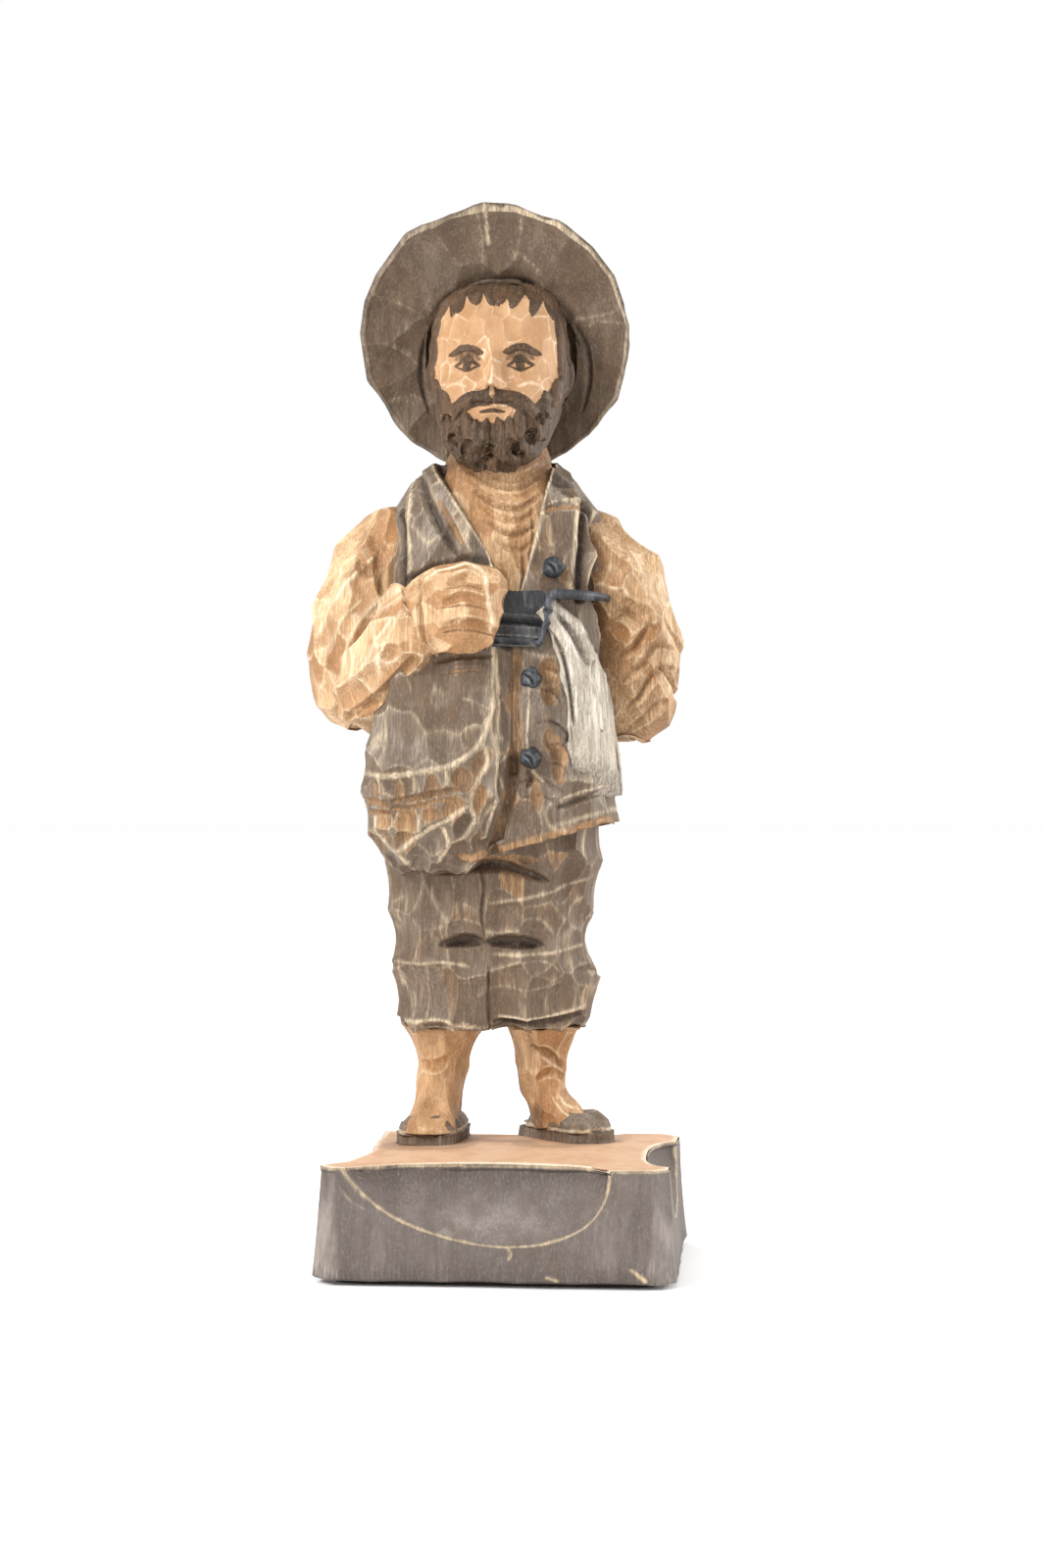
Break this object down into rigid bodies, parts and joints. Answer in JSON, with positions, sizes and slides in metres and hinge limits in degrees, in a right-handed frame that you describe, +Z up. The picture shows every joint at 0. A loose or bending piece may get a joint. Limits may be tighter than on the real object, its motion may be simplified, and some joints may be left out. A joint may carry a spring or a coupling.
{
  "type": "carved wooden figurine",
  "caption": "Free-standing carved wooden figurine of a bearded countryman in a broad hat, waistcoat and short trousers, on a scooped block, for display on a shelf.",
  "frame": {"origin": "middle of the underside, on the surface that the figurine stands on", "axes": "+Z up, the figure faces -Y, its own left hand side is at +X"},
  "size_m": [0.0721, 0.0576, 0.195],
  "materials": {
    "grey_stained_limewood": "grey-brown wood stain, worn pale on the ridges",
    "honey_stained_limewood": "honey-brown wood stain, hand carved",
    "flesh_stained_limewood": "pale stain with dark hair and beard, hand carved",
    "black_stained_limewood": "black stain with a slight sheen",
    "brown_stained_limewood": "dark brown wood stain",
    "bare_beech": "bare turned dowel",
    "black_felt": "pressed wool felt"
  },
  "bodies": {
    "root": {"base_felt": "black_felt", "base_block": "grey_stained_limewood", "right_shoe": "brown_stained_limewood", "left_shoe": "brown_stained_limewood", "right_leg": "honey_stained_limewood", "left_leg": "honey_stained_limewood", "trousers": "grey_stained_limewood", "shirt": "honey_stained_limewood", "waistcoat": "grey_stained_limewood", "sash": "black_stained_limewood", "right_sleeve": "honey_stained_limewood", "left_sleeve": "honey_stained_limewood", "right_hand": "honey_stained_limewood", "left_hand": "honey_stained_limewood", "buttons": "black_stained_limewood", "head": "flesh_stained_limewood", "hat": "grey_stained_limewood", "hat_peg": "bare_beech", "neck_peg": "bare_beech", "waist_peg": "bare_beech", "right_shoulder_peg": "bare_beech", "left_shoulder_peg": "bare_beech", "right_leg_peg": "bare_beech", "left_leg_peg": "bare_beech"}
  },
  "joints": []
}
